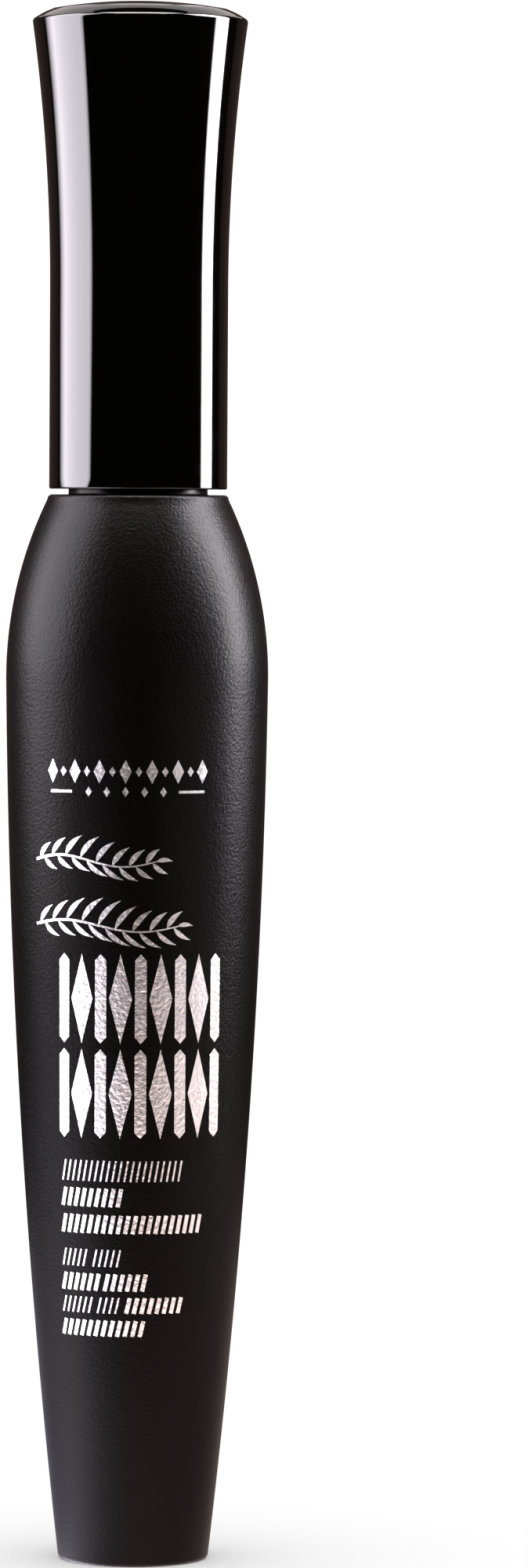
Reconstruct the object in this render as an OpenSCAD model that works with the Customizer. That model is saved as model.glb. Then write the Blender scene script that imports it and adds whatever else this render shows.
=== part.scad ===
// Mascara tube with a belly-shaped bottle, a flared cap and a brush wand.
// The tube stands closed on its base: +Z is up, and the origin is the centre of the base.
// Every piece is turned about the Z axis, apart from threads, grip ribs, wire and bristles.

/* [Bottle] */
// height of the bottle's flat shoulder above the base
bottle_height = 88.1; // [85:0.1:92]
// outer radius that the wall would have at the very bottom
foot_radius = 6.25; // [5.8:0.05:6.6]
// outer radius of the belly, the widest ring
belly_radius = 10.84; // [10.4:0.02:11.6]
// height of the belly
belly_height = 73; // [70:0.5:75]
// radius of the arc that draws the shoulder in above the belly
shoulder_arc = 34; // [31:0.5:38]
// share of the wall's taper that is a straight lean, the rest is a bow
wall_lean = 0.18; // [0:0.01:0.5]
// thickness of the bottle's wall
bottle_wall = 1.6; // [1.2:0.1:2]
// thickness of the bottle's floor
floor_thickness = 2.0; // [1.4:0.1:3]
// height of the paste's surface above the base
fill_height = 66; // [50:1:70]

/* [Neck and thread] */
// outer radius of the neck between the threads
neck_radius = 4.75; // [4.6:0.05:4.8]
// height of the neck above the shoulder
neck_height = 13.4; // [12.5:0.1:14]
// radius of the plain collar at the foot of the neck
collar_radius = 5.75; // [5.4:0.05:5.9]
// radius of the bore that the wiper is pressed into
neck_bore = 3.9; // [3.8:0.02:3.94]
// rise of the thread in one turn
thread_pitch = 2.5; // [2:0.1:3]
// turns of thread on the neck and in the cap
thread_turns = 1.5; // [1:0.25:2]

/* [Cap] */
// length of the cap from its mouth to the top of its dome
cap_length = 40.1; // [39:0.1:42]
// outer radius of the cap at its mouth
cap_mouth_radius = 7.36; // [7.3:0.02:7.7]
// gap left between the closed cap's mouth and the shoulder
cap_gap = 0.45; // [0.3:0.05:0.8]
// straight length of the cap above its mouth, where the flare begins
flare_start = 16.45; // [14:0.25:18]
// radius of the arc that flares the cap out towards its top
flare_arc = 160; // [140:5:220]
// radius of the domed plug that closes the top of the cap
plug_radius = 7.36; // [7:0.02:7.4]
// radius of the sphere that the plug's dome is part of
dome_sphere = 42; // [38:1:60]

/* [Wand] */
// radius of the rod
rod_radius = 2.0; // [1.8:0.05:2.02]
// distance that the rod reaches below the cap's mouth
rod_reach = 55.7; // [50:0.1:57]
// length of the tapered end of the rod
rod_nose = 3.45; // [2:0.05:5]
// radius of the rod's flat end, where the wire leaves it
rod_end_radius = 1.15; // [0.9:0.05:1.4]
// length of the brush beyond the rod
brush_length = 26.1; // [22:0.1:27]
// radius over the bristles along most of the brush
brush_radius = 3.4; // [2.8:0.1:3.5]
// radius over the bristles at the free end
brush_tip_radius = 2.05; // [1.6:0.05:2.6]
// distance between the rows of bristles that the twist makes
row_spacing = 1.53; // [1.3:0.01:1.8]
// radius of the steel wire before it is folded and twisted
wire_radius = 0.27; // [0.22:0.01:0.28]

/* [Hidden] */
$fn = 96;
// bevel of the plain edges
chamfer = 0.3;
// how far a cutting shape reaches past the face that it cuts
cut = 1;

// bottle
corner = 0.4;
recess_radius = 4.3;
recess_depth = 0.4;
edge = 0.4;
drop = belly_height - corner;
taper = belly_radius - foot_radius;
cavity_corner = 2;
cavity_top = bottle_height - 1.8;
cavity_ceiling_radius = 5;
collar_top = bottle_height + 0.75;
neck_top = bottle_height + neck_height;
thread_start = bottle_height + 3.7;
thread_height = 0.5;
thread_root = 1.3;
thread_crest = 0.6;
thread_bite = 0.25;
thread_fade = 40;
thread_steps = 36;
bead_z = neck_top - 4;
bead_half = 0.35;
bead_height = 0.1;
bead_clearance = 0.05;

// wiper
flange_radius = 4.6;
flange_thickness = 0.6;
wiper_clearance = 0.02;
wiper_wall = 0.58;
wiper_cone_top = bottle_height + 3.1;
lip_z = bottle_height - 2.5;
lip_height = 0.5;
lip_clearance = 0.06;
lip_wall = 0.7;

// paste
paste_clearance = 0.05;
channel_radius = 3.75;
channel_floor = 5;

// cap
cap_z = bottle_height + cap_gap;
cap_apex = cap_z + cap_length;
flare_z = cap_z + flare_start;
rim_z = cap_apex - 1.7;
rim_corner = 0.3;
rim_slope = 28;
mouth_corner = 0.15;
cap_bore = 6.12;
cap_flare_share = 0.55;
plug_seat = cap_apex - 4;
plug_ceiling = cap_apex - 2.1;
plug_wall = 1.05;
plug_clearance = 0.04;
plug_edge = 0.12;
flare_lean = asin((rim_z - flare_z) / flare_arc);
rim_radius = cap_mouth_radius + flare_arc * (1 - cos(flare_lean));

// inner cap
liner_foot = collar_top + 0.2;
liner_top = liner_foot + 23.5;
liner_radius = 5.95;
liner_bore = 5.6;
liner_wall = 0.9;
rib_count = 24;
rib_radius = 6.1;
rib_width = 0.6;
rib_inset = 1.5;
rib_bite = 0.2;
web_z = neck_top + flange_thickness + 0.05;
web_thickness = 1.2;
boss_radius = 3.5;
boss_top = web_z + 9.4;
boss_roof = 0.8;
crest_clearance = 0.08;

// rod
head_radius = 2.3;
head_clearance = 0.02;
head_top = boss_top - 0.3;
stopper_radius = 3.15;
stopper_top = web_z - 0.02;
stopper_foot = stopper_top - 1.55;
stopper_cone = 1.8;
rod_end = cap_z - rod_reach;
core_radius = 1;
core_floor = rod_end + 14;
wire_bore_depth = 9.6;

// wire and bristles
twist_pitch = 2 * row_spacing;
strand_offset = wire_radius + 0.03;
wire_sides = 6;
wire_steps = 12;
wire_bore = strand_offset + wire_radius + 0.03;
wire_tip = rod_end - brush_length;
loop_steps = 6;
loop_base = wire_tip + strand_offset + wire_radius;
shank_top = rod_end + wire_bore_depth - 0.3;
bristle_low = wire_tip + 0.85;
bristle_high = rod_end - 0.75;
bristle_root = 0.45;
bristle_root_thickness = 1.2;
bristle_tip_thickness = 0.75;
bristle_taper_length = 12;

// points of an arc about [cx, cz], from angle a0 to angle a1 in n steps
function arc(cx, cz, r, a0, a1, n) =
    [for (i = [0:n]) let (a = a0 + (a1 - a0) * i / n) [cx + r * cos(a), cz + r * sin(a)]];

// outer radius of the bottle's wall between its foot and its belly
function wall_radius(z) =
    let (s = (belly_height - z) / drop)
    belly_radius - taper * (wall_lean * s + (1 - wall_lean) * s * s);

// outer radius of the bottle's shoulder above its belly
function shoulder_radius(z) =
    belly_radius - shoulder_arc + sqrt(pow(shoulder_arc, 2) - pow(z - belly_height, 2));

function bottle_radius(z) = z < belly_height ? wall_radius(z) : shoulder_radius(z);

// points of the bottle's side moved inwards by inset, from height z0 to height z1 in n steps
function side(z0, z1, inset, n) =
    [for (i = [0:n]) let (z = z0 + (z1 - z0) * i / n) [bottle_radius(z) - inset, z]];

// outer radius of the cap at height z
function cap_radius(z) = z < flare_z
    ? cap_mouth_radius
    : cap_mouth_radius + flare_arc - sqrt(pow(flare_arc, 2) - pow(z - flare_z, 2));

// inner radius of the cap at height z, which follows the flare part of the way
function cap_inner(z) = cap_bore + cap_flare_share * (cap_radius(z) - cap_mouth_radius);

// triangles that join count rings of sides points each, with both ends closed
function tube_faces(count, sides) = let (end = (count - 1) * sides) concat(
    [for (j = [1:sides - 2]) [0, j, j + 1]],
    [for (i = [0:count - 2]) for (j = [0:sides - 1])
        let (a = i * sides + j, b = i * sides + (j + 1) % sides)
        for (f = [[a, b + sides, b], [a, a + sides, b + sides]]) f],
    [for (j = [1:sides - 2]) [end, end + j + 1, end + j]]);

// outline of the bottle's outside with the neck on it
function bottle_outline() = concat(
    [[0, recess_depth], [recess_radius - recess_depth, recess_depth], [recess_radius, 0]],
    arc(wall_radius(corner) - corner, corner, corner, -90, 0, 8),
    side(corner, belly_height, 0, 24),
    side(belly_height + 1, bottle_height - edge, 0, 14),
    arc(shoulder_radius(bottle_height - edge) - edge, bottle_height - edge, edge, 20, 90, 5),
    [[collar_radius, bottle_height], [collar_radius, collar_top], [neck_radius, collar_top]],
    [[neck_radius, neck_top - chamfer], [neck_radius - chamfer, neck_top], [0, neck_top]]);

// outline of the bottle's cavity moved inwards by inset, closed at height top
function cavity_outline(inset, top) = concat(
    [[0, floor_thickness + inset]],
    arc(bottle_radius(floor_thickness + cavity_corner) - bottle_wall - cavity_corner,
        floor_thickness + cavity_corner, cavity_corner - inset, -90, 0, 6),
    side(floor_thickness + cavity_corner + 1, min(top, belly_height), bottle_wall + inset, 22),
    top > belly_height ? side(belly_height + 1, top - 1, bottle_wall + inset, 10) : [],
    [[min(bottle_radius(top) - bottle_wall - inset, cavity_ceiling_radius), top], [0, top]]);

// ridge of a thread that starts at height start on a wall of radius base
// height is negative for a ridge inside a bore
module thread_ridge(base, height, start) {
    count = thread_steps * thread_turns;
    bite = height > 0 ? -thread_bite : thread_bite;
    rings = [for (i = [0:count])
        let (a = 360 * i / thread_steps,
             end = min(a, 360 * thread_turns - a) / thread_fade,
             rise = height * min(1, end) + bite / 2 * max(0, 1 - end),
             z = start + thread_pitch * a / 360,
             section = [[base + bite, -thread_root / 2], [base + rise, -thread_crest / 2],
                        [base + rise, thread_crest / 2], [base + bite, thread_root / 2]])
        for (p = section) [p.x * cos(a), p.x * sin(a), z + p.y]];
    faces = tube_faces(count + 1, 4);
    polyhedron(points = rings, convexity = 8,
        faces = height > 0 ? [for (f = faces) [for (k = [len(f) - 1:-1:0]) f[k]]] : faces);
}

module bottle() {
    color("#1b1819")
    union() {
        difference() {
            rotate_extrude() polygon(bottle_outline());
            rotate_extrude() polygon(cavity_outline(0, cavity_top));
            translate([0, 0, cavity_top - cut])
                cylinder(r = neck_bore, h = neck_top - cavity_top + 2 * cut);
            translate([0, 0, bead_z - bead_half - bead_clearance])
                cylinder(r = neck_bore + bead_height + bead_clearance,
                    h = 2 * (bead_half + bead_clearance));
        }
        thread_ridge(neck_radius, thread_height, thread_start);
    }
}

module wiper() {
    tube = neck_bore - wiper_clearance;
    bore = tube - wiper_wall;
    orifice = rod_radius + lip_clearance;
    color("#e9e7e2")
    rotate_extrude() polygon([
        [orifice, lip_z], [orifice + lip_wall, lip_z], [tube, wiper_cone_top],
        [tube, bead_z - bead_half], [tube + bead_height, bead_z - bead_half / 2],
        [tube + bead_height, bead_z + bead_half / 2], [tube, bead_z + bead_half],
        [tube, neck_top], [flange_radius, neck_top],
        [flange_radius, neck_top + flange_thickness], [bore, neck_top + flange_thickness],
        [bore, wiper_cone_top], [orifice, lip_z + lip_height]]);
}

module mascara_paste() {
    color("#0c0a0a")
    difference() {
        rotate_extrude() polygon(cavity_outline(paste_clearance, fill_height));
        translate([0, 0, channel_floor])
            cylinder(r = channel_radius, h = fill_height);
    }
}

module overcap() {
    rim_centre = [rim_radius - rim_corner * cos(flare_lean),
                  rim_z + rim_corner * sin(flare_lean)];
    bevel_foot = rim_centre + rim_corner * [sin(rim_slope), cos(rim_slope)];
    seat = plug_radius + plug_clearance;
    color("#070606")
    rotate_extrude() polygon(concat(
        [[cap_bore, cap_z + chamfer], [cap_bore + chamfer, cap_z]],
        arc(cap_mouth_radius - mouth_corner, cap_z + mouth_corner, mouth_corner, -90, 0, 5),
        [for (i = [0:16]) let (z = flare_z + (rim_z - flare_z) * i / 16) [cap_radius(z), z]],
        arc(rim_centre.x, rim_centre.y, rim_corner, -flare_lean, 90 - rim_slope, 6),
        [[seat, bevel_foot.y + (bevel_foot.x - seat) * tan(rim_slope)], [seat, plug_seat]],
        [for (i = [8:-1:0]) let (z = flare_z + (plug_seat - flare_z) * i / 8)
            [cap_inner(z), z]]));
}

module cap_top() {
    half = asin((plug_radius - plug_edge) / dome_sphere);
    edge_z = cap_apex - dome_sphere * (1 - cos(half));
    color("#0b0a0a")
    rotate_extrude() polygon(concat(
        [[0, plug_ceiling], [plug_radius - plug_wall, plug_ceiling],
         [plug_radius - plug_wall, plug_seat], [plug_radius, plug_seat],
         [plug_radius, edge_z - plug_edge]],
        arc(0, cap_apex - dome_sphere, dome_sphere, 90 - half, 90, 10)));
}

module inner_cap() {
    socket = head_radius + head_clearance;
    color("#2a2829")
    union() {
        difference() {
            union() {
                translate([0, 0, liner_foot])
                    cylinder(r = liner_radius, h = liner_top - liner_foot);
                intersection() {
                    translate([0, 0, liner_foot + rib_inset])
                        cylinder(r = rib_radius, h = liner_top - liner_foot - 2 * rib_inset);
                    for (i = [0:rib_count - 1])
                        rotate([0, 0, 360 * i / rib_count])
                            translate([liner_radius - rib_bite, -rib_width / 2, liner_foot])
                                cube([cut, rib_width, liner_top - liner_foot]);
                }
            }
            translate([0, 0, liner_foot - cut])
                cylinder(r = liner_bore, h = web_z - liner_foot + cut);
            translate([0, 0, web_z + web_thickness])
                difference() {
                    cylinder(r = liner_radius - liner_wall, h = liner_top);
                    cylinder(r = boss_radius, h = boss_top + boss_roof - web_z - web_thickness);
                }
            translate([0, 0, web_z - cut])
                cylinder(r = socket, h = boss_top - web_z + cut);
        }
        thread_ridge(liner_bore, neck_radius + thread_height + crest_clearance - liner_bore,
            thread_start - thread_pitch / 2);
    }
}

module rod() {
    nose = [for (i = [0:8]) let (t = i / 8)
        [rod_end_radius + (rod_radius - rod_end_radius) * sin(90 * t), rod_end + rod_nose * t]];
    color("#151314")
    difference() {
        rotate_extrude() polygon(concat(
            [[0, rod_end]], nose,
            [[rod_radius, stopper_foot - stopper_cone], [stopper_radius, stopper_foot],
             [stopper_radius, stopper_top], [head_radius, stopper_top],
             [head_radius, head_top], [0, head_top]]));
        translate([0, 0, core_floor])
            cylinder(r = core_radius, h = head_top);
        translate([0, 0, rod_end - cut])
            cylinder(r = wire_bore, h = wire_bore_depth + cut);
    }
}

// one wire folded in half at the brush's tip and twisted: down one strand and up the other
module wire_core() {
    turns = (shank_top - loop_base) / twist_pitch;
    steps = round(turns * wire_steps);
    down = [for (i = [steps:-1:1]) let (a = -360 * turns * i / steps)
        [strand_offset * cos(a), strand_offset * sin(a),
         loop_base + (shank_top - loop_base) * i / steps]];
    fold = [for (i = [0:loop_steps]) let (a = 180 * i / loop_steps)
        [strand_offset * cos(a), 0, loop_base - strand_offset * sin(a)]];
    up = [for (i = [1:steps]) let (a = -360 * turns * i / steps + 180)
        [strand_offset * cos(a), strand_offset * sin(a),
         loop_base + (shank_top - loop_base) * i / steps]];
    path = concat(down, fold, up);
    last = len(path) - 1;
    // the section's first side always points away from the axis of the brush
    rings = [for (i = [0:last])
        let (t = unit(path[min(i + 1, last)] - path[max(i - 1, 0)]),
             out = outward(path[i], i - steps),
             u = unit(out - (out * t) * t),
             v = cross(t, u))
        for (j = [0:wire_sides - 1]) let (a = 360 * j / wire_sides)
            path[i] + wire_radius * (cos(a) * u + sin(a) * v)];
    color("#8d8a88")
    polyhedron(points = rings, faces = tube_faces(last + 1, wire_sides), convexity = 12);
}

function unit(p) = p / norm(p);

// direction away from the brush's axis at a point of the wire, or downwards round the fold
function outward(p, k) =
    k > 0 && k < loop_steps
    ? [cos(180 * k / loop_steps), 0, -sin(180 * k / loop_steps)]
    : [p.x, p.y, 0] / norm([p.x, p.y]);

// radius over the bristles at height z
function bristle_radius(z) =
    brush_tip_radius + (brush_radius - brush_tip_radius)
        * sin(90 * min(1, (z - bristle_low) / bristle_taper_length));

// the fan of bristles on one side of the wire, which the twist winds into a helix
module bristle_fan(start) {
    steps = round((bristle_high - bristle_low) / twist_pitch * wire_steps);
    rings = [for (i = [0:steps])
        let (z = bristle_low + (bristle_high - bristle_low) * i / steps,
             a = start - 360 * (z - loop_base) / twist_pitch,
             r = bristle_radius(z),
             section = [[bristle_root, -bristle_root_thickness / 2],
                        [r, -bristle_tip_thickness / 2],
                        [r, bristle_tip_thickness / 2],
                        [bristle_root, bristle_root_thickness / 2]])
        for (p = section) [p.x * cos(a), p.x * sin(a), z + p.y]];
    polyhedron(points = rings, faces = tube_faces(steps + 1, 4), convexity = 12);
}

module bristles() {
    color("#241a19") {
        bristle_fan(90);
        bristle_fan(270);
    }
}

bottle();
wiper();
mascara_paste();
overcap();
cap_top();
inner_cap();
rod();
wire_core();
bristles();
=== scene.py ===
"""The looks of a closed mascara tube: a satin bottle, a glossy flared cap and a brush wand.

Lengths are in millimetres until they reach a mesh. The bottle's front faces -Y.
"""

import math
import random

import bmesh
import bpy
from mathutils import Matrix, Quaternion, Vector


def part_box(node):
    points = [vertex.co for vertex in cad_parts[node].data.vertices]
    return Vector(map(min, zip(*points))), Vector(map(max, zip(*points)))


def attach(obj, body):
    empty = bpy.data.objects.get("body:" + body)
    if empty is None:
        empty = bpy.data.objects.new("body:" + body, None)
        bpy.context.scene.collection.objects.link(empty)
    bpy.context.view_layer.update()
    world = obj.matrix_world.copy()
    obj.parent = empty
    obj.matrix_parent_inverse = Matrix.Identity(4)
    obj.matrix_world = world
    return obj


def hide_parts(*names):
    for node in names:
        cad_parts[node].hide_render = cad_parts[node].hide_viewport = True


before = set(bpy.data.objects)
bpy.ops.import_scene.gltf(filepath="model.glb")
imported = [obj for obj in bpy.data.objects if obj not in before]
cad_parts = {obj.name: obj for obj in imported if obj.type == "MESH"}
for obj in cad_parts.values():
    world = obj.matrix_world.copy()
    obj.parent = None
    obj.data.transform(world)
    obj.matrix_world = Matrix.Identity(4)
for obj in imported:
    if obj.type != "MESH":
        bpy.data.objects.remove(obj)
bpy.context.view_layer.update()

MM = 0.001
SEGMENTS = 160
AXIS = 1e-6
SHARP = math.radians(50)


# ---------- sizes ----------

def low(node):
    """Lowest height of a CAD node."""
    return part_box(node)[0][2] / MM


def high(node):
    """Highest height of a CAD node."""
    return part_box(node)[1][2] / MM


def reach(node):
    """Largest radius of a round CAD node."""
    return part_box(node)[1][0] / MM


# bottle
NECK_TOP = high("bottle")
SHOULDER_Z = NECK_TOP - 13.4
BELLY_RADIUS = reach("bottle")
BELLY_Z = 73.0
FOOT_RADIUS = 6.25
FOOT_CORNER = 0.4
WALL_LEAN = 0.18
SHOULDER_ARC = 34.0
SHOULDER_EDGE = 0.4
WALL = 1.6
FLOOR = 2.0
CAVITY_CORNER = 2.0
CAVITY_TOP = SHOULDER_Z - 1.8
RECESS_RADIUS = 4.3
RECESS_DEPTH = 0.4
COLLAR_RADIUS = 5.75
COLLAR_TOP = SHOULDER_Z + 0.75
NECK_RADIUS = 4.75
NECK_BORE = 3.9
BEAD_Z = NECK_TOP - 4.0
BEAD_HALF = 0.4
BEAD_DEPTH = 0.15

# thread on the neck
THREAD_PITCH = 2.5
THREAD_TURNS = 1.5
THREAD_START = SHOULDER_Z + 3.7
THREAD_HEIGHT = 0.5
THREAD_ROOT = 1.3
THREAD_CREST = 0.6
THREAD_FADE = math.radians(40)

# cap
CAP_MOUTH = low("overcap")
CAP_APEX = high("cap_top")
CAP_RADIUS = 7.36
CAP_BORE = 6.12
FLARE_Z = CAP_MOUTH + 16.45
FLARE_ARC = 160.0
FLARE_SHARE = 0.55
RIM_Z = CAP_APEX - 1.7
RIM_CORNER = 0.3
RIM_SLOPE = math.radians(28)
BEVEL_BULGE = 0.08
MOUTH_CORNER = 0.15
PLUG_RADIUS = reach("cap_top")
PLUG_SEAT = low("cap_top")
PLUG_GAP = 0.04
PLUG_CEILING = CAP_APEX - 2.1
PLUG_WALL = 1.05
DOME_SPHERE = 42.0

# wiper
LIP_Z = low("wiper")
LIP_HEIGHT = 0.5
LIP_WALL = 0.7
FLANGE_RADIUS = reach("wiper")
FLANGE_TOP = high("wiper")
WIPER_CONE_TOP = SHOULDER_Z + 3.1
WIPER_TUBE = NECK_BORE - 0.02
WIPER_BORE = WIPER_TUBE - 0.58
ORIFICE = 2.06

# wand
ROD_END = low("rod")
ROD_TOP = high("rod")
ROD_RADIUS = 2.0
ROD_END_RADIUS = 1.15
ROD_NOSE = 3.45
STOPPER_RADIUS = reach("rod")
STOPPER_TOP = FLANGE_TOP + 0.03
STOPPER_HEIGHT = 1.55
STOPPER_CONE = 1.8
HEAD_RADIUS = 2.3
CORE_RADIUS = 1.0
CORE_FLOOR = ROD_END + 14
WIRE_BORE = 0.6
WIRE_BORE_DEPTH = 9.6

# wire and brush
WIRE_RADIUS = 0.27
STRAND_OFFSET = 0.3
TWIST_PITCH = 3.06
WIRE_TIP = low("wire_core")
FOLD_Z = WIRE_TIP + STRAND_OFFSET + WIRE_RADIUS
SHANK_TOP = ROD_END + WIRE_BORE_DEPTH - 0.3
BRUSH_LOW = WIRE_TIP + 0.85
BRUSH_HIGH = ROD_END - 0.75
BRUSH_RADIUS = reach("bristles")
BRUSH_TIP_RADIUS = 2.05
BRUSH_TAPER = 12.0
TUFT_STEP = 0.105
TUFT_FILAMENTS = 15

# paste
PASTE_GAP = 0.05
PASTE_TOP = high("mascara_paste")
CHANNEL_RADIUS = 3.75
CHANNEL_FLOOR = 5.0


def wall_radius(z):
    """Outer radius of the bottle between its foot and its belly."""
    s = (BELLY_Z - z) / (BELLY_Z - FOOT_CORNER)
    return BELLY_RADIUS - (BELLY_RADIUS - FOOT_RADIUS) * (WALL_LEAN * s + (1 - WALL_LEAN) * s * s)


def shoulder_radius(z):
    """Outer radius of the bottle above its belly."""
    return BELLY_RADIUS - SHOULDER_ARC + math.sqrt(SHOULDER_ARC**2 - (z - BELLY_Z)**2)


def bottle_radius(z):
    """Outer radius of the bottle's side at height z."""
    return wall_radius(z) if z < BELLY_Z else shoulder_radius(z)


def cap_radius(z):
    """Outer radius of the cap at height z."""
    rise = max(0.0, z - FLARE_Z)
    return CAP_RADIUS + FLARE_ARC - math.sqrt(FLARE_ARC**2 - rise**2)


def brush_radius(z):
    """Radius over the bristles at height z."""
    share = min(1.0, (z - BRUSH_LOW) / BRUSH_TAPER)
    return BRUSH_TIP_RADIUS + (BRUSH_RADIUS - BRUSH_TIP_RADIUS) * math.sin(math.pi / 2 * share)


# ---------- mesh helpers ----------

def spread(start, stop, steps):
    """Even steps from start to stop, both included."""
    return [start + (stop - start) * i / steps for i in range(steps + 1)]


def arc(centre_r, centre_z, radius, start, stop, steps=8):
    """Points of an arc, with its angles in degrees."""
    angles = [math.radians(a) for a in spread(start, stop, steps)]
    return [(centre_r + radius * math.cos(a), centre_z + radius * math.sin(a)) for a in angles]


def rounded(points, steps=5):
    """The outline, with each corner that is (radius, height, size) rounded off from size away."""
    outline = []
    for i, point in enumerate(points):
        here = Vector(point[:2])
        if len(point) == 2:
            outline.append(tuple(here))
            continue
        before = here + (Vector(points[i - 1][:2]) - here).normalized() * point[2]
        after = here + (Vector(points[(i + 1) % len(points)][:2]) - here).normalized() * point[2]
        for t in spread(0, 1, steps):
            outline.append(tuple(before.lerp(here, t).lerp(here.lerp(after, t), t)))
    return outline


def join(shape, below, above):
    """Faces between two rings of vertices, either of which may be a single vertex."""
    count = max(len(below), len(above))
    for k in range(count):
        after = (k + 1) % count
        corners = [below[k % len(below)], below[after % len(below)],
                   above[after % len(above)], above[k % len(above)]]
        shape.faces.new(list(dict.fromkeys(corners)))


def lathe(outline, relief=None):
    """A shape turned about Z. relief(angle, r, z), where it is given, is a point's new radius."""
    shape = bmesh.new()
    rings = []
    for r, z in outline:
        if r < AXIS:
            rings.append([shape.verts.new((0, 0, z * MM))])
            continue
        ring = []
        for k in range(SEGMENTS):
            angle = 2 * math.pi * k / SEGMENTS
            radius = relief(angle, r, z) if relief else r
            ring.append(shape.verts.new(
                (radius * math.cos(angle) * MM, radius * math.sin(angle) * MM, z * MM)))
        rings.append(ring)
    for below, above in zip(rings, rings[1:]):
        join(shape, below, above)
    if len(rings[0]) > 1 and len(rings[-1]) > 1:
        join(shape, rings[-1], rings[0])
    return shape


def tube(shape, path, radii, sides):
    """Adds a round bar along a path, with a radius at each of its points."""
    side = Vector((0.3, 0.2, 1.0)).cross(path[1] - path[0]).normalized()
    rings = []
    for i, centre in enumerate(path):
        along = (path[min(i + 1, len(path) - 1)] - path[max(i - 1, 0)]).normalized()
        side = (side - side.dot(along) * along).normalized()
        up = along.cross(side)
        ring = []
        for k in range(sides):
            angle = 2 * math.pi * k / sides
            offset = math.cos(angle) * side + math.sin(angle) * up
            ring.append(shape.verts.new((centre + radii[i] * offset) * MM))
        rings.append(ring)
    for below, above in zip(rings, rings[1:]):
        join(shape, below, above)
    shape.faces.new(rings[0])
    shape.faces.new(rings[-1])


def piece(name, shape, material, body, stands_for=None, turned=False):
    """Makes the shape a piece that rides on a body and may stand for a CAD node."""
    bmesh.ops.recalc_face_normals(shape, faces=shape.faces)
    mesh = bpy.data.meshes.new(name)
    shape.to_mesh(mesh)
    shape.free()
    mesh.shade_smooth()
    mesh.set_sharp_from_angle(angle=SHARP)
    mesh.materials.append(material)
    made = bpy.data.objects.new(name, mesh)
    bpy.context.collection.objects.link(made)
    if turned:
        made.modifiers.new("even_shading", "WEIGHTED_NORMAL").keep_sharp = True
    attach(made, body)
    if stands_for:
        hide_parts(stands_for)


# ---------- materials ----------

def new_material(name, colour, roughness, metallic=0.0):
    """A material, with its node tree and its shader."""
    material = bpy.data.materials.new(name)
    material.use_nodes = True
    shader = material.node_tree.nodes["Principled BSDF"]
    shader.inputs["Base Color"].default_value = (*colour, 1)
    shader.inputs["Roughness"].default_value = roughness
    shader.inputs["Metallic"].default_value = metallic
    return material, material.node_tree, shader


def place(tree):
    """The piece's own coordinates, in metres."""
    return tree.nodes.new("ShaderNodeTexCoord").outputs["Object"]


def noise(tree, grain, detail=2.0, stretch=(1, 1, 1)):
    """Noise whose patches are about grain millimetres across."""
    mapping = tree.nodes.new("ShaderNodeMapping")
    mapping.inputs["Scale"].default_value = [1 / (grain * MM * s) for s in stretch]
    tree.links.new(place(tree), mapping.inputs["Vector"])
    node = tree.nodes.new("ShaderNodeTexNoise")
    node.inputs["Scale"].default_value = 1.0
    node.inputs["Detail"].default_value = detail
    tree.links.new(mapping.outputs["Vector"], node.inputs["Vector"])
    return node.outputs["Fac"]


def between(tree, value, start, stop, low_in=0.3, high_in=0.7):
    """The value, moved from the range low_in to high_in into the range start to stop."""
    node = tree.nodes.new("ShaderNodeMapRange")
    node.inputs["From Min"].default_value = low_in
    node.inputs["From Max"].default_value = high_in
    node.inputs["To Min"].default_value = start
    node.inputs["To Max"].default_value = stop
    tree.links.new(value, node.inputs["Value"])
    return node.outputs["Result"]


def mixed(tree, share, start, stop):
    """The value start, or stop where share is 1. Both are sockets or plain numbers."""
    node = tree.nodes.new("ShaderNodeMix")
    tree.links.new(share, node.inputs["Factor"])
    for value, socket in ((start, node.inputs["A"]), (stop, node.inputs["B"])):
        if isinstance(value, float):
            socket.default_value = value
        else:
            tree.links.new(value, socket)
    return node.outputs["Result"]


def tint(tree, shader, value, dark, light):
    """Colours the shader from dark to light as the value goes from 0 to 1."""
    node = tree.nodes.new("ShaderNodeMix")
    node.data_type = "RGBA"
    node.inputs["A"].default_value = (*dark, 1)
    node.inputs["B"].default_value = (*light, 1)
    tree.links.new(value, node.inputs["Factor"])
    tree.links.new(node.outputs["Result"], shader.inputs["Base Color"])


def emboss(tree, shader, value, depth, over=None):
    """Bumps the shader by depth millimetres, on top of an earlier bump."""
    node = tree.nodes.new("ShaderNodeBump")
    node.inputs["Distance"].default_value = depth * MM
    node.inputs["Strength"].default_value = 1.0
    tree.links.new(value, node.inputs["Height"])
    if over:
        tree.links.new(over, node.inputs["Normal"])
    tree.links.new(node.outputs["Normal"], shader.inputs["Normal"])
    return node.outputs["Normal"]


def satin_black():
    """Soft-touch coating with a fine leathery grain up to the shoulder, and a bare neck above it."""
    material, tree, shader = new_material("satin_black", (0.003, 0.002, 0.0015), 0.42)
    shader.inputs["Specular IOR Level"].default_value = 0.085
    tint(tree, shader, between(tree, noise(tree, 6), 0, 1),
         (0.0013, 0.0006, 0.0003), (0.0022, 0.0011, 0.0007))
    height = tree.nodes.new("ShaderNodeSeparateXYZ")
    tree.links.new(place(tree), height.inputs["Vector"])
    edge = SHOULDER_Z * MM
    coated = between(tree, height.outputs["Z"], 1, 0, edge + 0.1 * MM, edge + 0.3 * MM)
    fine = noise(tree, 0.24, 3)
    rough = between(tree, fine, 0.29, 0.36)
    bare = between(tree, noise(tree, 1.5), 0.2, 0.26)
    tree.links.new(mixed(tree, coated, bare, rough), shader.inputs["Roughness"])
    broad = emboss(tree, shader, noise(tree, 0.9), 0.006)
    emboss(tree, shader, mixed(tree, coated, 0.5, fine), 0.036, over=broad)
    return material


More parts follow.
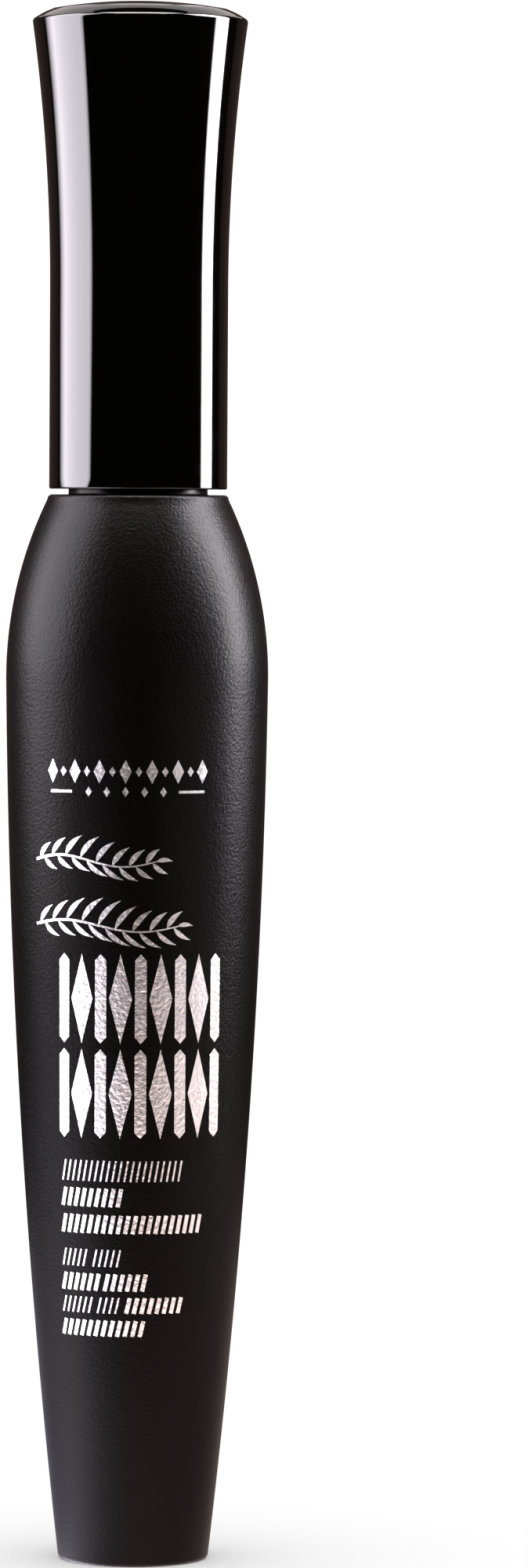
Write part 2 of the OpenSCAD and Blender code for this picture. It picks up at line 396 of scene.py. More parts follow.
def gloss_black():
    """Polished black plastic of the cap, faintly wavy and with hairline smudges."""
    material, tree, shader = new_material("gloss_black", (0.0001, 0.0002, 0.0001), 0.04)
    tree.links.new(between(tree, noise(tree, 3, 4), 0.03, 0.06), shader.inputs["Roughness"])
    emboss(tree, shader, noise(tree, 1.2, 1, (1, 1, 3)), 0.0006)
    return material


def natural_polyethylene():
    """Unpigmented, waxy plastic of the wiper."""
    material, tree, shader = new_material("natural_polyethylene", (0.72, 0.71, 0.68), 0.4)
    tint(tree, shader, between(tree, noise(tree, 1.5), 0, 1), (0.68, 0.67, 0.64), (0.76, 0.75, 0.72))
    shader.inputs["Subsurface Weight"].default_value = 0.25
    shader.inputs["Subsurface Scale"].default_value = 1 * MM
    emboss(tree, shader, noise(tree, 0.2, 2), 0.004)
    return material


def wet_paste():
    """Mascara: thick, wet and near black, with soft lumps."""
    material, tree, shader = new_material("mascara", (0.006, 0.005, 0.005), 0.2)
    tree.links.new(between(tree, noise(tree, 0.8, 3), 0.14, 0.4), shader.inputs["Roughness"])
    emboss(tree, shader, noise(tree, 1.1, 3, (1, 1, 0.6)), 0.12)
    return material


def black_liner():
    """Plain moulded plastic of the inner cap."""
    material, tree, shader = new_material("black_liner", (0.012, 0.012, 0.012), 0.45)
    tint(tree, shader, between(tree, noise(tree, 2), 0, 1), (0.010, 0.010, 0.010), (0.018, 0.017, 0.017))
    tree.links.new(between(tree, noise(tree, 0.5, 3), 0.38, 0.52), shader.inputs["Roughness"])
    emboss(tree, shader, noise(tree, 0.12, 2), 0.003)
    return material


def satin_rod():
    """Satin moulded plastic of the rod, with faint lengthwise draw marks."""
    material, tree, shader = new_material("satin_rod", (0.004, 0.004, 0.004), 0.42)
    shader.inputs["Specular IOR Level"].default_value = 0.07
    marks = noise(tree, 0.25, 2, (1, 1, 30))
    tree.links.new(between(tree, marks, 0.38, 0.48), shader.inputs["Roughness"])
    tint(tree, shader, between(tree, noise(tree, 1.5), 0, 1),
         (0.0026, 0.0028, 0.0024), (0.0048, 0.0048, 0.0044))
    emboss(tree, shader, noise(tree, 0.15, 2, (1, 1, 3)), 0.002)
    return material


def twisted_steel():
    """Drawn wire, dulled by a thin film of mascara."""
    material, tree, shader = new_material("twisted_wire", (0.04, 0.04, 0.04), 0.5, metallic=0.8)
    film = between(tree, noise(tree, 0.5, 3), 0, 1)
    tint(tree, shader, film, (0.008, 0.0075, 0.0075), (0.045, 0.043, 0.042))
    tree.links.new(between(tree, noise(tree, 0.3, 2), 0.42, 0.62), shader.inputs["Roughness"])
    emboss(tree, shader, noise(tree, 0.06, 2, (1, 1, 8)), 0.002)
    return material


def nylon_bristle():
    """Dark filaments, blacker with mascara near the wire and browner at their tips."""
    material, tree, shader = new_material("nylon_bristle", (0.01, 0.005, 0.004), 0.5)
    shader.inputs["Specular IOR Level"].default_value = 0.12
    flat = tree.nodes.new("ShaderNodeVectorMath")
    flat.operation = "MULTIPLY"
    flat.inputs[1].default_value = (1 / MM, 1 / MM, 0)
    tree.links.new(place(tree), flat.inputs[0])
    length = tree.nodes.new("ShaderNodeVectorMath")
    length.operation = "LENGTH"
    tree.links.new(flat.outputs["Vector"], length.inputs[0])
    outward = between(tree, length.outputs["Value"], 0, 1, 1.0, BRUSH_RADIUS)
    tint(tree, shader, outward, (0.0013, 0.0011, 0.001), (0.022, 0.0105, 0.0088))
    tree.links.new(between(tree, noise(tree, 0.3, 2), 0.45, 0.65), shader.inputs["Roughness"])
    return material


def silver_foil():
    """Hot-stamped silver, crinkled by the grain of the bottle under it."""
    material, tree, shader = new_material("silver_foil", (0.9, 0.89, 0.88), 0.42, metallic=1.0)
    tint(tree, shader, between(tree, noise(tree, 2.5, 3), 0, 1), (0.82, 0.81, 0.8), (0.95, 0.94, 0.93))
    crinkle = noise(tree, 0.33, 2)
    tree.links.new(between(tree, crinkle, 0.29, 0.39), shader.inputs["Roughness"])
    broad = emboss(tree, shader, noise(tree, 0.9), 0.01)
    emboss(tree, shader, crinkle, 0.08, over=broad)
    return material


# ---------- bottle ----------

def neck_thread(angle, r, z):
    """Radius of the neck with its right-hand thread."""
    if abs(r - NECK_RADIUS) > AXIS:
        return r
    height = 0.0
    last = 2 * math.pi * THREAD_TURNS
    for turn in range(math.ceil(THREAD_TURNS)):
        run = angle + 2 * math.pi * turn
        if run > last:
            continue
        away = abs(z - THREAD_START - THREAD_PITCH * run / (2 * math.pi))
        flank = (THREAD_ROOT / 2 - away) / ((THREAD_ROOT - THREAD_CREST) / 2)
        flank = min(1.0, max(0.0, flank))
        fade = min(1.0, min(run, last - run) / THREAD_FADE)
        height = max(height, THREAD_HEIGHT * flank * flank * (3 - 2 * flank) * fade)
    return r + height


def cavity_outline(inset, top):
    """The bottle's cavity moved inwards by inset, from its floor up to height top."""
    corner_z = FLOOR + CAVITY_CORNER
    points = [(0, FLOOR + inset)]
    points += arc(bottle_radius(corner_z) - WALL - CAVITY_CORNER, corner_z, CAVITY_CORNER - inset, -90, 0)
    points += [(bottle_radius(z) - WALL - inset, z) for z in spread(corner_z + 1, top, 40)]
    return points


def bottle_shell():
    """The bottle in one piece: foot, wall, shoulder, collar and threaded neck."""
    thread_low = THREAD_START - THREAD_ROOT
    thread_high = THREAD_START + THREAD_PITCH * THREAD_TURNS + THREAD_ROOT
    edge_z = SHOULDER_Z - SHOULDER_EDGE
    outside = [(0, RECESS_DEPTH), (RECESS_RADIUS - RECESS_DEPTH, RECESS_DEPTH, 0.15),
               (RECESS_RADIUS, 0, 0.1)]
    outside += arc(wall_radius(FOOT_CORNER) - FOOT_CORNER, FOOT_CORNER, FOOT_CORNER, -90, 0)
    outside += [(wall_radius(z), z) for z in spread(FOOT_CORNER + 1, BELLY_Z, 60)]
    outside += [(shoulder_radius(z), z) for z in spread(BELLY_Z + 1, edge_z, 24)]
    outside += arc(shoulder_radius(edge_z) - SHOULDER_EDGE, edge_z, SHOULDER_EDGE, 20, 90)
    outside += [(COLLAR_RADIUS, SHOULDER_Z, 0.1), (COLLAR_RADIUS, COLLAR_TOP, 0.12),
                (NECK_RADIUS, COLLAR_TOP)]
    outside += [(NECK_RADIUS, z) for z in spread(thread_low, thread_high, 110)]
    outside += [(NECK_RADIUS, NECK_TOP, 0.25), (NECK_BORE, NECK_TOP, 0.1),
                (NECK_BORE, BEAD_Z + BEAD_HALF), (NECK_BORE + BEAD_DEPTH, BEAD_Z + BEAD_HALF, 0.05),
                (NECK_BORE + BEAD_DEPTH, BEAD_Z - BEAD_HALF, 0.05), (NECK_BORE, BEAD_Z - BEAD_HALF),
                (NECK_BORE, CAVITY_TOP, 0.2)]
    inside = cavity_outline(0, CAVITY_TOP - 1)
    inside.append((bottle_radius(CAVITY_TOP) - WALL - 1.5, CAVITY_TOP, 0.8))
    return lathe(rounded(outside + inside[::-1]), neck_thread)


# ---------- wiper, paste, cap and wand ----------

def wiper_insert():
    """The wiper: a flanged tube whose cone ends in a thin lip."""
    return lathe(rounded([
        (ORIFICE, LIP_Z, 0.1), (ORIFICE + LIP_WALL, LIP_Z, 0.1), (WIPER_TUBE, WIPER_CONE_TOP, 0.4),
        (WIPER_TUBE, BEAD_Z - 0.35), (WIPER_TUBE + 0.1, BEAD_Z - 0.17, 0.05),
        (WIPER_TUBE + 0.1, BEAD_Z + 0.17, 0.05), (WIPER_TUBE, BEAD_Z + 0.35),
        (WIPER_TUBE, NECK_TOP), (FLANGE_RADIUS, NECK_TOP, 0.08), (FLANGE_RADIUS, FLANGE_TOP, 0.18),
        (WIPER_BORE, FLANGE_TOP, 0.25), (WIPER_BORE, WIPER_CONE_TOP, 0.4),
        (ORIFICE, LIP_Z + LIP_HEIGHT, 0.15)]))


def paste_fill():
    """The paste, with a channel that the brush has combed and a raised rim where it wets the wall."""
    wall = bottle_radius(PASTE_TOP) - WALL - PASTE_GAP
    points = cavity_outline(PASTE_GAP, PASTE_TOP - 1)
    points += arc(wall - 1.2, PASTE_TOP, 1.2, 0, -90, 6)[:1]
    points += [(wall - d, PASTE_TOP - 0.9 * (1 - math.exp(-d / 0.5))) for d in spread(0.2, 1.8, 8)]
    points += [(CHANNEL_RADIUS + 0.6, PASTE_TOP - 0.9), (CHANNEL_RADIUS + 0.06, PASTE_TOP - 1.3, 0.3)]
    points += [(CHANNEL_RADIUS + 0.06, z) for z in spread(PASTE_TOP - 2, CHANNEL_FLOOR + 1, 260)]
    points += [(CHANNEL_RADIUS - 1, CHANNEL_FLOOR, 0.5), (0, CHANNEL_FLOOR)]

    def combed(angle, r, z):
        if abs(r - CHANNEL_RADIUS - 0.06) > AXIS:
            return r
        turn = 2 * angle + 4 * math.pi * z / TWIST_PITCH
        return r + 0.05 * math.sin(turn) + 0.02 * math.sin(5 * angle + 1.7 * z)

    return lathe(rounded(points), combed)


def overcap_shell():
    """The cap: a straight sleeve that flares to a bevelled rim, open where the domed plug sits."""
    lean = math.asin((RIM_Z - FLARE_Z) / FLARE_ARC)
    centre_r = cap_radius(RIM_Z) - RIM_CORNER * math.cos(lean)
    centre_z = RIM_Z + RIM_CORNER * math.sin(lean)
    bevel_r = centre_r + RIM_CORNER * math.sin(RIM_SLOPE)
    bevel_z = centre_z + RIM_CORNER * math.cos(RIM_SLOPE)
    seat = PLUG_RADIUS + PLUG_GAP
    seat_z = bevel_z + (bevel_r - seat) * math.tan(RIM_SLOPE)
    points = [(CAP_BORE, CAP_MOUTH + 0.3, 0.1), (CAP_BORE + 0.3, CAP_MOUTH, 0.1)]
    points += arc(CAP_RADIUS - MOUTH_CORNER, CAP_MOUTH + MOUTH_CORNER, MOUTH_CORNER, -90, 0)
    points += [(CAP_RADIUS, z) for z in spread(CAP_MOUTH + 1, FLARE_Z - 1, 4)]
    points += [(cap_radius(z), z) for z in spread(FLARE_Z, RIM_Z, 48)]
    points += arc(centre_r, centre_z, RIM_CORNER, -math.degrees(lean), 90 - math.degrees(RIM_SLOPE), 10)
    points.append(((bevel_r + seat) / 2, (bevel_z + seat_z) / 2 + BEVEL_BULGE, 0.55))
    points += [(seat, seat_z, 0.05), (seat, PLUG_SEAT)]
    points += [(CAP_BORE + FLARE_SHARE * (cap_radius(z) - CAP_RADIUS), z)
               for z in spread(PLUG_SEAT, FLARE_Z, 20)]
    return lathe(rounded(points))


def cap_dome():
    """The domed plug that closes the top of the cap."""
    half = math.degrees(math.asin(PLUG_RADIUS / DOME_SPHERE))
    edge_z = CAP_APEX - DOME_SPHERE * (1 - math.cos(math.radians(half)))
    points = [(0, PLUG_CEILING), (PLUG_RADIUS - PLUG_WALL, PLUG_CEILING, 0.2),
              (PLUG_RADIUS - PLUG_WALL, PLUG_SEAT, 0.1), (PLUG_RADIUS, PLUG_SEAT, 0.1),
              (PLUG_RADIUS, edge_z, 0.12)]
    points += arc(0, CAP_APEX - DOME_SPHERE, DOME_SPHERE, 90 - half * 0.93, 90, 20)[:-1]
    points.append((0, CAP_APEX))
    return lathe(rounded(points))


def wand_rod():
    """The rod: a tapered nose, a plain shank, the stopper that seals the wiper, and its head."""
    foot = STOPPER_TOP - STOPPER_HEIGHT
    points = [(0, ROD_END + WIRE_BORE_DEPTH), (WIRE_BORE, ROD_END + WIRE_BORE_DEPTH),
              (WIRE_BORE, ROD_END, 0.05), (ROD_END_RADIUS, ROD_END, 0.12)]
    points += [(ROD_END_RADIUS + (ROD_RADIUS - ROD_END_RADIUS) * math.sin(math.pi / 2 * t),
                ROD_END + ROD_NOSE * t) for t in spread(0.08, 1, 16)]
    points += [(ROD_RADIUS, foot - STOPPER_CONE, 0.5), (STOPPER_RADIUS, foot, 0.2),
               (STOPPER_RADIUS, STOPPER_TOP, 0.1), (HEAD_RADIUS, STOPPER_TOP),
               (HEAD_RADIUS, ROD_TOP, 0.15), (CORE_RADIUS, ROD_TOP, 0.05),
               (CORE_RADIUS, CORE_FLOOR), (0, CORE_FLOOR)]
    return lathe(rounded(points))


def strand(z, start):
    """Point at height z of a strand of the left-hand twist, whose angle at the fold is start."""
    angle = start - 2 * math.pi * (z - FOLD_Z) / TWIST_PITCH
    return Vector((STRAND_OFFSET * math.cos(angle), STRAND_OFFSET * math.sin(angle), z))


def twisted_wire():
    """One wire folded at the brush's tip and twisted: down one strand and up the other."""
    heights = spread(FOLD_Z, SHANK_TOP, round(24 * (SHANK_TOP - FOLD_Z) / TWIST_PITCH))
    bend = [math.pi * t for t in spread(0, 1, 10)]
    path = [strand(z, 0) for z in heights[:0:-1]]
    path += [Vector((STRAND_OFFSET * math.cos(a), 0, FOLD_Z - STRAND_OFFSET * math.sin(a))) for a in bend]
    path += [strand(z, math.pi) for z in heights[1:]]
    shape = bmesh.new()
    tube(shape, path, [WIRE_RADIUS] * len(path), 12)
    return shape


def polar(radius, angle, z):
    """The point at that radius, angle in degrees and height."""
    return Vector((radius * math.cos(math.radians(angle)), radius * math.sin(math.radians(angle)), z))


def filament(shape, rng, root, tip):
    """One bristle, a little bowed, from root to tip."""
    middle = root.lerp(tip, 0.55) + Vector((0, 0, rng.gauss(0, 0.025)))
    thick = rng.uniform(0.04, 0.055)
    tube(shape, [root, middle, tip], [thick, thick * 0.95, thick * 0.6], 3)


def brush_filaments():
    """Two rows of bristles that the twist winds into helices, stuck together in ragged tufts."""
    rng = random.Random(11)
    shape = bmesh.new()
    tufts = round((BRUSH_HIGH - BRUSH_LOW) / TUFT_STEP)
    for row in (90, 270):
        for z in spread(BRUSH_LOW, BRUSH_HIGH, tufts):
            angle = row - 360 * (z - FOLD_Z) / TWIST_PITCH
            lean = rng.gauss(0, 3.5)
            lift = rng.gauss(0, 0.05)
            share = rng.uniform(0.95, 1.0) if rng.random() < 0.85 else rng.uniform(0.8, 0.93)
            length = brush_radius(z) * share
            near_rod = max(0.0, 1 - (BRUSH_HIGH - z) / 0.9)
            for _ in range(TUFT_FILAMENTS // 3):
                root = polar(0.3, angle + rng.uniform(-40, 40), z + rng.uniform(-0.4, 0.4))
                filament(shape, rng, root, polar(rng.uniform(0.7, 1.15), angle + rng.uniform(-30, 30),
                                                 z + rng.uniform(-0.62, 0.62)))
            for _ in range(TUFT_FILAMENTS):
                root = polar(0.32, angle + rng.uniform(-14, 14), z + rng.uniform(-0.42, 0.42))
                stray = rng.random() < 0.012
                tip_z = z + lift + (rng.gauss(0, 0.4) if stray else rng.uniform(-0.2, 0.2))
                tip_z += near_rod * rng.uniform(0, 0.9)
                tip_r = length * rng.uniform(0.95, 1.0) - near_rod * rng.uniform(0, 0.8)
                filament(shape, rng, root, polar(tip_r, angle + lean + rng.gauss(0, 1.6), tip_z))
    return shape


# ---------- silver ornament on the bottle ----------

FOIL_RISE = 0.02
FOIL_SINK = 0.04
FOIL_TIP = 0.012


def on_bottle(across, z, lift):
    """Point of the bottle's side, across millimetres to the right of its front."""
    radius = bottle_radius(z)
    angle = across / radius
    return Vector(((radius + lift) * math.sin(angle), -(radius + lift) * math.cos(angle), z)) * MM


def ribbon(shape, path, halves):
    """Adds a thin band of foil along a path of (across, z) points, half as wide as halves says."""
    lanes = max(1, math.ceil(max(halves) / 0.2))
    layers = []
    for lift in (FOIL_RISE, -FOIL_SINK):
        rows = []
        for i, (across, z) in enumerate(path):
            before, after = Vector(path[max(i - 1, 0)]), Vector(path[min(i + 1, len(path) - 1)])
            along = (after - before).normalized()
            rows.append([shape.verts.new(on_bottle(
                across - along.y * halves[i] * s, z + along.x * halves[i] * s, lift))
                for s in spread(-1, 1, lanes)])
        layers.append(rows)
    top, bottom = layers
    for rows in layers:
        for one, two in zip(rows, rows[1:]):
            for k in range(lanes):
                shape.faces.new([one[k], one[k + 1], two[k + 1], two[k]])
    for k in (0, lanes):
        for i in range(len(path) - 1):
            shape.faces.new([top[i][k], top[i + 1][k], bottom[i + 1][k], bottom[i][k]])
    for i in (0, len(path) - 1):
        for k in range(lanes):
            shape.faces.new([top[i][k], top[i][k + 1], bottom[i][k + 1], bottom[i][k]])


def lozenge(shape, across, low_z, high_z, width):
    """Adds an upright lozenge."""
    steps = 2 * max(2, round((high_z - low_z) / 0.8))
    halves = [max(FOIL_TIP, width / 2 * (1 - abs(2 * t - 1))) for t in spread(0, 1, steps)]
    ribbon(shape, [(across, z) for z in spread(low_z, high_z, steps)], halves)


def bar(shape, across, low_z, high_z, width, point=0.0):
    """Adds an upright bar, whose ends are pointed over a length of point."""
    heights = spread(low_z + point, high_z - point, 12)
    halves = [width / 2] * len(heights)
    if point:
        heights = [low_z] + heights + [high_z]
        halves = [FOIL_TIP] + halves + [FOIL_TIP]
    ribbon(shape, [(across, z) for z in heights], halves)


def rule(shape, left, right, z, width):
    """Adds a level line."""
    steps = max(2, round((right - left) / 0.4))
    ribbon(shape, [(a, z) for a in spread(left, right, steps)], [width / 2] * (steps + 1))


def leaf(shape, across, z, angle, length, width):
    """Adds a pointed, slightly curved leaf that grows from a point at an angle in degrees."""
    path, halves = [], []
    heading = math.radians(angle)
    curl = math.radians(22) * (1 if math.cos(heading) * math.sin(heading) > 0 else -1)
    for t in spread(0, 1, 10):
        turned = heading - curl * (t - 0.5)
        path.append((across + length * t * math.cos(turned), z + length * t * math.sin(turned)))
        halves.append(max(FOIL_TIP, width / 2 * math.sin(math.pi * t ** 0.8)))
    ribbon(shape, path, halves)


def sprig(shape, left, right, z, height, pairs):
    """Adds a sprig: a gently waved stem with a pair of slanted leaves at each step."""
    def stem(t):
        return left + (right - left) * t, z + 0.45 * math.sin(2 * math.pi * t)
    steps = 48
    ribbon(shape, [stem(t) for t in spread(0, 1, steps)],
           [0.1 * (1 - 0.7 * t) + 0.02 for t in spread(0, 1, steps)])
    for i in range(pairs):
        t = (i + 0.35) / pairs
        across, stem_z = stem(t)
        size = height / 2 * (1 - 0.35 * abs(2 * t - 0.9))
        leaf(shape, across, stem_z + 0.05, 58, size * 1.12, 0.46)
        across, stem_z = stem(t + 0.4 / pairs)
        leaf(shape, across, stem_z - 0.05, -46, size * 1.05, 0.4)
    leaf(shape, *stem(1), 12, 1.3, 0.36)


def foil_crest():
    """A row of lozenges, large and small by turns, over two short rules and small lozenges."""
    shape = bmesh.new()
    left, right = -7.4, 5.6
    count = 13
    for i, across in enumerate(spread(left, right, count - 1)):
        tall = i % 2 == 0
        half = 0.95 if tall else 0.4
        lozenge(shape, across, 65.6 - half, 65.6 + half, 1.0 if tall else 0.55)
    rule(shape, left - 0.2, left + 1.9, 63.95, 0.22)
    rule(shape, right - 2.1, right + 0.2, 63.95, 0.22)
    for across in spread(left + 3.4, right - 3.4, 4):
        lozenge(shape, across, 63.55, 64.35, 0.55)
    return shape


def foil_sprigs():
    """Two slender sprigs, one over the other."""
    shape = bmesh.new()
    sprig(shape, -9.3, 1.7, 58.3, 4.3, 8)
    sprig(shape, -9.3, 3.5, 53.0, 5.0, 9)
    return shape


def foil_frieze():
    """Two rows of tall bars and lozenges by turns."""
    shape = bmesh.new()
    left, right = -6.2, 7.05
    for low_z, high_z in ((43.4, 50.7), (35.6, 42.9)):
        for i, across in enumerate(spread(left, right, 8)):
            if i % 2:
                lozenge(shape, across, low_z, high_z, 1.9)
            else:
                bar(shape, across, low_z, high_z, 0.95, 0.5)
    return shape


def foil_hatching():
    """Seven rows of slanted hatching, in groups, fine and bold by turns."""
    shape = bmesh.new()
    left = -6.35
    fine, bold = 0.15, 0.34
    rows = ((32.9, 1.7, fine, ((0, 10.2),)), (30.7, 1.5, bold, ((0, 5.2),)),
            (28.5, 1.5, bold, ((0, 12.3),)), (25.7, 1.4, fine, ((0, 2.2), (2.9, 5.2))),
            (23.7, 1.4, bold, ((0, 3.1), (3.9, 7.6))), (21.8, 1.3, fine, ((0, 2.7), (3.3, 5.0))),
            (21.8, 1.3, bold, ((5.7, 10.4),)), (19.9, 1.3, bold, ((0, 7.0),)))
    for z, height, weight, groups in rows:
        pitch = 0.62 if weight == bold else 0.5
        for start, stop in groups:
            for k in range(int((stop - start) / pitch) + 1):
                across = left + start + k * pitch
                path = [(across + 0.3 * t, z + height * (t - 0.5)) for t in spread(0, 1, 3)]
                ribbon(shape, path, [weight / 2] * 4)
    return shape


# ---------- studio ----------

PANEL_DISTANCE = 0.25
UNDER_TABLE = -0.002

def emitter(colour, radiance):
    """Light whose strength across a panel is the panel's own glow."""
    material = bpy.data.materials.new("soft_light")
    material.use_nodes = True
    tree = material.node_tree
    tree.nodes.clear()
    glow = tree.nodes.new("ShaderNodeAttribute")
    glow.attribute_name = "glow"
    level = tree.nodes.new("ShaderNodeMath")
    level.operation = "MULTIPLY"
    level.inputs[1].default_value = radiance
    tree.links.new(glow.outputs["Fac"], level.inputs[0])
    light = tree.nodes.new("ShaderNodeEmission")
    light.inputs["Color"].default_value = (*colour, 1)
    tree.links.new(level.outputs["Value"], light.inputs["Strength"])
    output = tree.nodes.new("ShaderNodeOutputMaterial")
    tree.links.new(light.outputs["Emission"], output.inputs["Surface"])
    return material


def hang(name, shape, material):
    """A glowing panel that only reflections can see."""
    mesh = bpy.data.meshes.new(name)
    shape.to_mesh(mesh)
    shape.free()
    mesh.materials.append(material)
    panel = bpy.data.objects.new(name, mesh)
    panel.visible_camera = False
    panel.visible_diffuse = False
    panel.visible_shadow = False
    bpy.context.collection.objects.link(panel)


def low_ring(name, start, stop, strength, colour):
    """A sector of light just under the table round the foot, from azimuth start to azimuth stop.

    strength(azimuth) is its radiance. Straight in front of the tube it fades with distance, so
    that the foil keeps its dark middle.
    """
    fade_start, fade_end, fade_share, fade_azimuth = 0.055, 0.13, 0.92, 50
    shape = bmesh.new()
    glow = shape.verts.layers.float.new("glow")
    spokes = []
    for angle in spread(start, stop, 60):
        azimuth = math.radians(angle)
        in_front = math.exp(-(angle / fade_azimuth) ** 4)
        spoke = []
        for radius in spread(0.004, 0.2, 14):
            spoke.append(shape.verts.new((radius * math.sin(azimuth), -radius * math.cos(azimuth),
                                          UNDER_TABLE)))
            far = min(1.0, max(0.0, (radius - fade_start) / (fade_end - fade_start)))
            spoke[-1][glow] = strength(angle) * (1 - fade_share * far * in_front)
        spokes.append(spoke)
    for one, two in zip(spokes, spokes[1:]):
        for k in range(len(one) - 1):
            shape.faces.new([one[k], one[k + 1], two[k + 1], two[k]])
    hang(name, shape, emitter(colour, 1))


def softbox(name, foot, top, near, far, radiance, colour, fades):
    """A curved panel of soft light round the tube, from height foot to height top in metres.

    near(height) and far(height) are the azimuths of its edges in degrees: 0 is the camera's side
    and 90 its right. The light fades out over a share of the width at each of the two edges.
    """
    rows, lanes = 20, 24
    shape = bmesh.new()
    glow = shape.verts.layers.float.new("glow")
    grid = []
    for height in spread(foot, top, rows):
        row = []
        for t in spread(0, 1, lanes):
            azimuth = math.radians(near(height) + (far(height) - near(height)) * t)
            row.append(shape.verts.new((PANEL_DISTANCE * math.sin(azimuth),
                                        -PANEL_DISTANCE * math.cos(azimuth), height)))
            row[-1][glow] = min(1.0, t / fades[0], (1 - t) / fades[1])
        grid.append(row)
    for below, above in zip(grid, grid[1:]):
        for k in range(lanes):
            shape.faces.new([below[k], below[k + 1], above[k + 1], above[k]])
    hang(name, shape, emitter(colour, radiance))


def card(name, centre, size, facing, radiance, colour):
    """A flat rectangular light at a point, in metres, that faces another point."""
    data = bpy.data.lights.new(name, "AREA")
    data.shape = "RECTANGLE"
    data.size, data.size_y = size
    data.energy = radiance * math.pi * size[0] * size[1]
    data.color = colour
    light = bpy.data.objects.new(name, data)
    light.location = centre
    light.rotation_euler = (Vector(facing) - light.location).to_track_quat("-Z", "Y").to_euler()
    light.visible_camera = False
    light.visible_diffuse = False
    bpy.context.collection.objects.link(light)


def lighting():
    """Tall soft panels at both sides, cards over and behind the cap, and light low round the foot."""
    def above(height, start, stop):
        t = min(1.0, max(0.0, (height - start) / (stop - start)))
        return t * t * (3 - 2 * t)

    def hump(azimuth, base, peak, middle, width):
        return base + (peak - base) * math.exp(-((azimuth - middle) / width) ** 2)

    def left_half(height):
        return 29 * (1 - math.exp(-(height - 0.039) / 0.018))

    cool = (0.98, 0.92, 1.0)
    warm = (1.0, 0.66, 0.58)
    softbox("left_softbox", 0.04, 0.48, lambda z: -90 + left_half(z) + 9 * above(z, 0.19, 0.33),
            lambda z: -90 - 1.15 * left_half(z), 13.5, cool, (0.06, 0.22))
    softbox("right_softbox", 0.063, 0.48, lambda z: 87 - 25 * above(z, 0.12, 0.27), lambda z: 109,
            40, cool, (0.15, 0.05))
    card("top_card", (0, -0.02, 0.75), (0.5, 0.3), (0, 0, 0.1), 24, (0.93, 0.95, 1.0))
    card("front_top_card", (0, -0.2, 0.45), (0.3, 0.12), (0, 0, 0.1), 8, (1.0, 0.86, 0.6))
    card("back_top_card", (0, 0.392, 0.421), (0.6, 0.29), (0, 0, 0.12), 1.1, (1.0, 0.92, 0.92))
    card("back_card", (0, 0.35, 0.2), (1.0, 0.4), (0, 0, 0.1), 0.07, warm)
    low_ring("left_low_ring", -180, -73, lambda a: hump(a, 0.6, 6.7, -73, 33), (0.9, 0.82, 1.0))
    low_ring("front_low_ring", -73, -10, lambda a: hump(a, 2.3, 6.7, -73, 32), (0.93, 0.84, 0.95))
    low_ring("right_low_ring", -10, 180, lambda a: hump(a, 0.5, 2.3, -10, 85), (1.0, 0.78, 0.71))
    for x in (-0.21, 0.21):
        card("outer_low_card", (x, -0.22, UNDER_TABLE - 0.001), (0.24, 0.32), (x, -0.22, 1), 1.1, cool)


def studio_world():
    """White for the camera and for diffuse light, dark and warm in reflections."""
    world = bpy.data.worlds.new("studio")
    world.use_nodes = True
    tree = world.node_tree
    white = tree.nodes["Background"]
    white.inputs["Color"].default_value = (1, 1, 1, 1)
    white.inputs["Strength"].default_value = 1.2
    dark = tree.nodes.new("ShaderNodeBackground")
    dark.inputs["Color"].default_value = (1.0, 0.72, 0.6, 1)
    dark.inputs["Strength"].default_value = 0.02
    path = tree.nodes.new("ShaderNodeLightPath")
    mix = tree.nodes.new("ShaderNodeMixShader")
    tree.links.new(path.outputs["Is Glossy Ray"], mix.inputs["Fac"])
    tree.links.new(white.outputs["Background"], mix.inputs[1])
    tree.links.new(dark.outputs["Background"], mix.inputs[2])
    tree.links.new(mix.outputs["Shader"], tree.nodes["World Output"].inputs["Surface"])
    bpy.context.scene.world = world


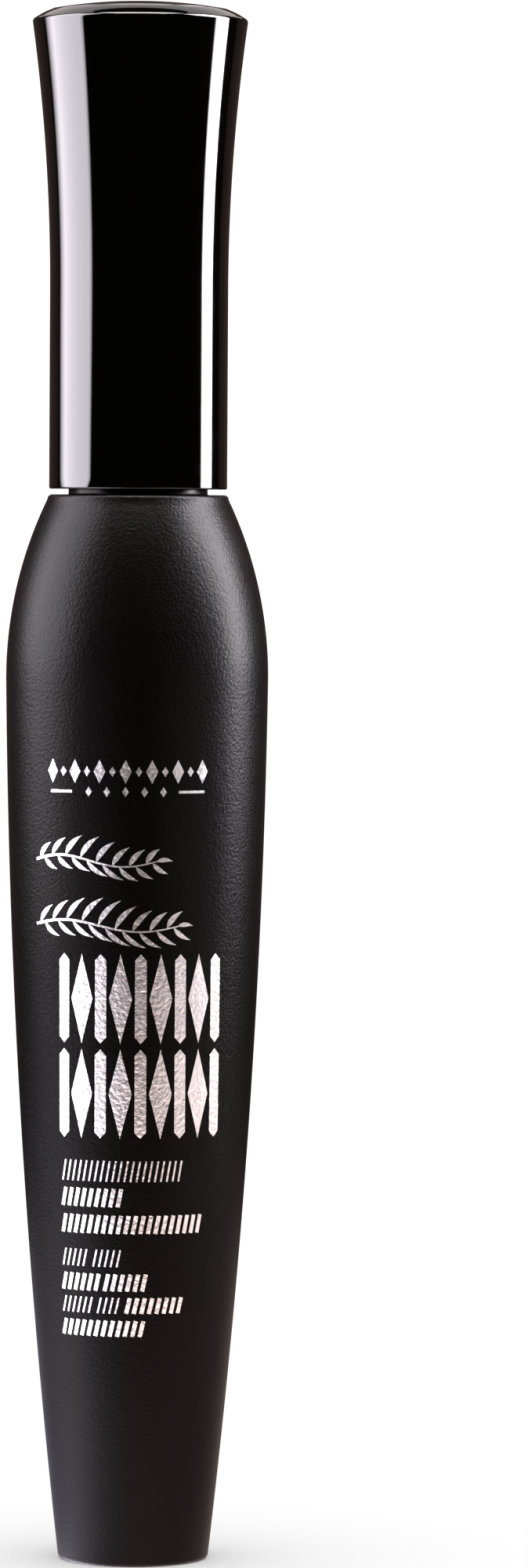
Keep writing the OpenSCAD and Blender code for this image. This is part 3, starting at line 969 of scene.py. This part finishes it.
def floor():
    """A wide, plain, pale floor that isn't seen in the gloss."""
    shape = bmesh.new()
    bmesh.ops.create_circle(shape, cap_ends=True, radius=4.0, segments=96)
    mesh = bpy.data.meshes.new("floor")
    shape.to_mesh(mesh)
    shape.free()
    material, _, shader = new_material("pale_floor", (0.9, 0.9, 0.9), 0.9)
    shader.inputs["Specular IOR Level"].default_value = 0.0
    mesh.materials.append(material)
    ground = bpy.data.objects.new("floor", mesh)
    bpy.context.collection.objects.link(ground)
    ground.visible_glossy = False
    ground.visible_shadow = False


def camera():
    """A camera at the height of the cap's mouth, tipped down a little to hold the whole tube."""
    data = bpy.data.cameras.new("camera")
    data.lens = 166.7
    data.sensor_width = 36
    eye_height = 0.088
    middle = 0.06425
    distance = 0.6
    tube_left_of_middle = 10.54 * MM
    lean = math.radians(0.33)
    seen = bpy.data.objects.new("camera", data)
    seen.location = (0, -distance, eye_height)
    seen.rotation_mode = "XYZ"
    view = Vector((tube_left_of_middle, distance, middle - eye_height)).to_track_quat("-Z", "Y")
    seen.rotation_euler = (view @ Quaternion(Vector((0, 0, 1)), lean)).to_euler()
    bpy.context.collection.objects.link(seen)
    bpy.context.scene.camera = seen


# ---------- build ----------

bottle_black = satin_black()
cap_black = gloss_black()
foil = silver_foil()

piece("bottle_shell", bottle_shell(), bottle_black, "container", "bottle", turned=True)
piece("wiper_insert", wiper_insert(), natural_polyethylene(), "container",
      "wiper", turned=True)
piece("paste_fill", paste_fill(), wet_paste(), "paste", "mascara_paste")
piece("overcap_shell", overcap_shell(), cap_black, "applicator", "overcap", turned=True)
piece("cap_dome", cap_dome(), cap_black, "applicator", "cap_top", turned=True)
piece("wand_rod", wand_rod(), satin_rod(), "applicator", "rod", turned=True)
piece("wire_twist", twisted_wire(), twisted_steel(), "applicator", "wire_core")
piece("brush_filaments", brush_filaments(), nylon_bristle(), "applicator", "bristles")

piece("foil_crest", foil_crest(), foil, "container")
piece("foil_sprigs", foil_sprigs(), foil, "container")
piece("foil_frieze", foil_frieze(), foil, "container")
piece("foil_hatching", foil_hatching(), foil, "container")

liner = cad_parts["inner_cap"]
liner.data.materials.clear()
liner.data.materials.append(black_liner())

floor()
studio_world()
lighting()
camera()

bpy.context.scene.view_settings.view_transform = "Standard"
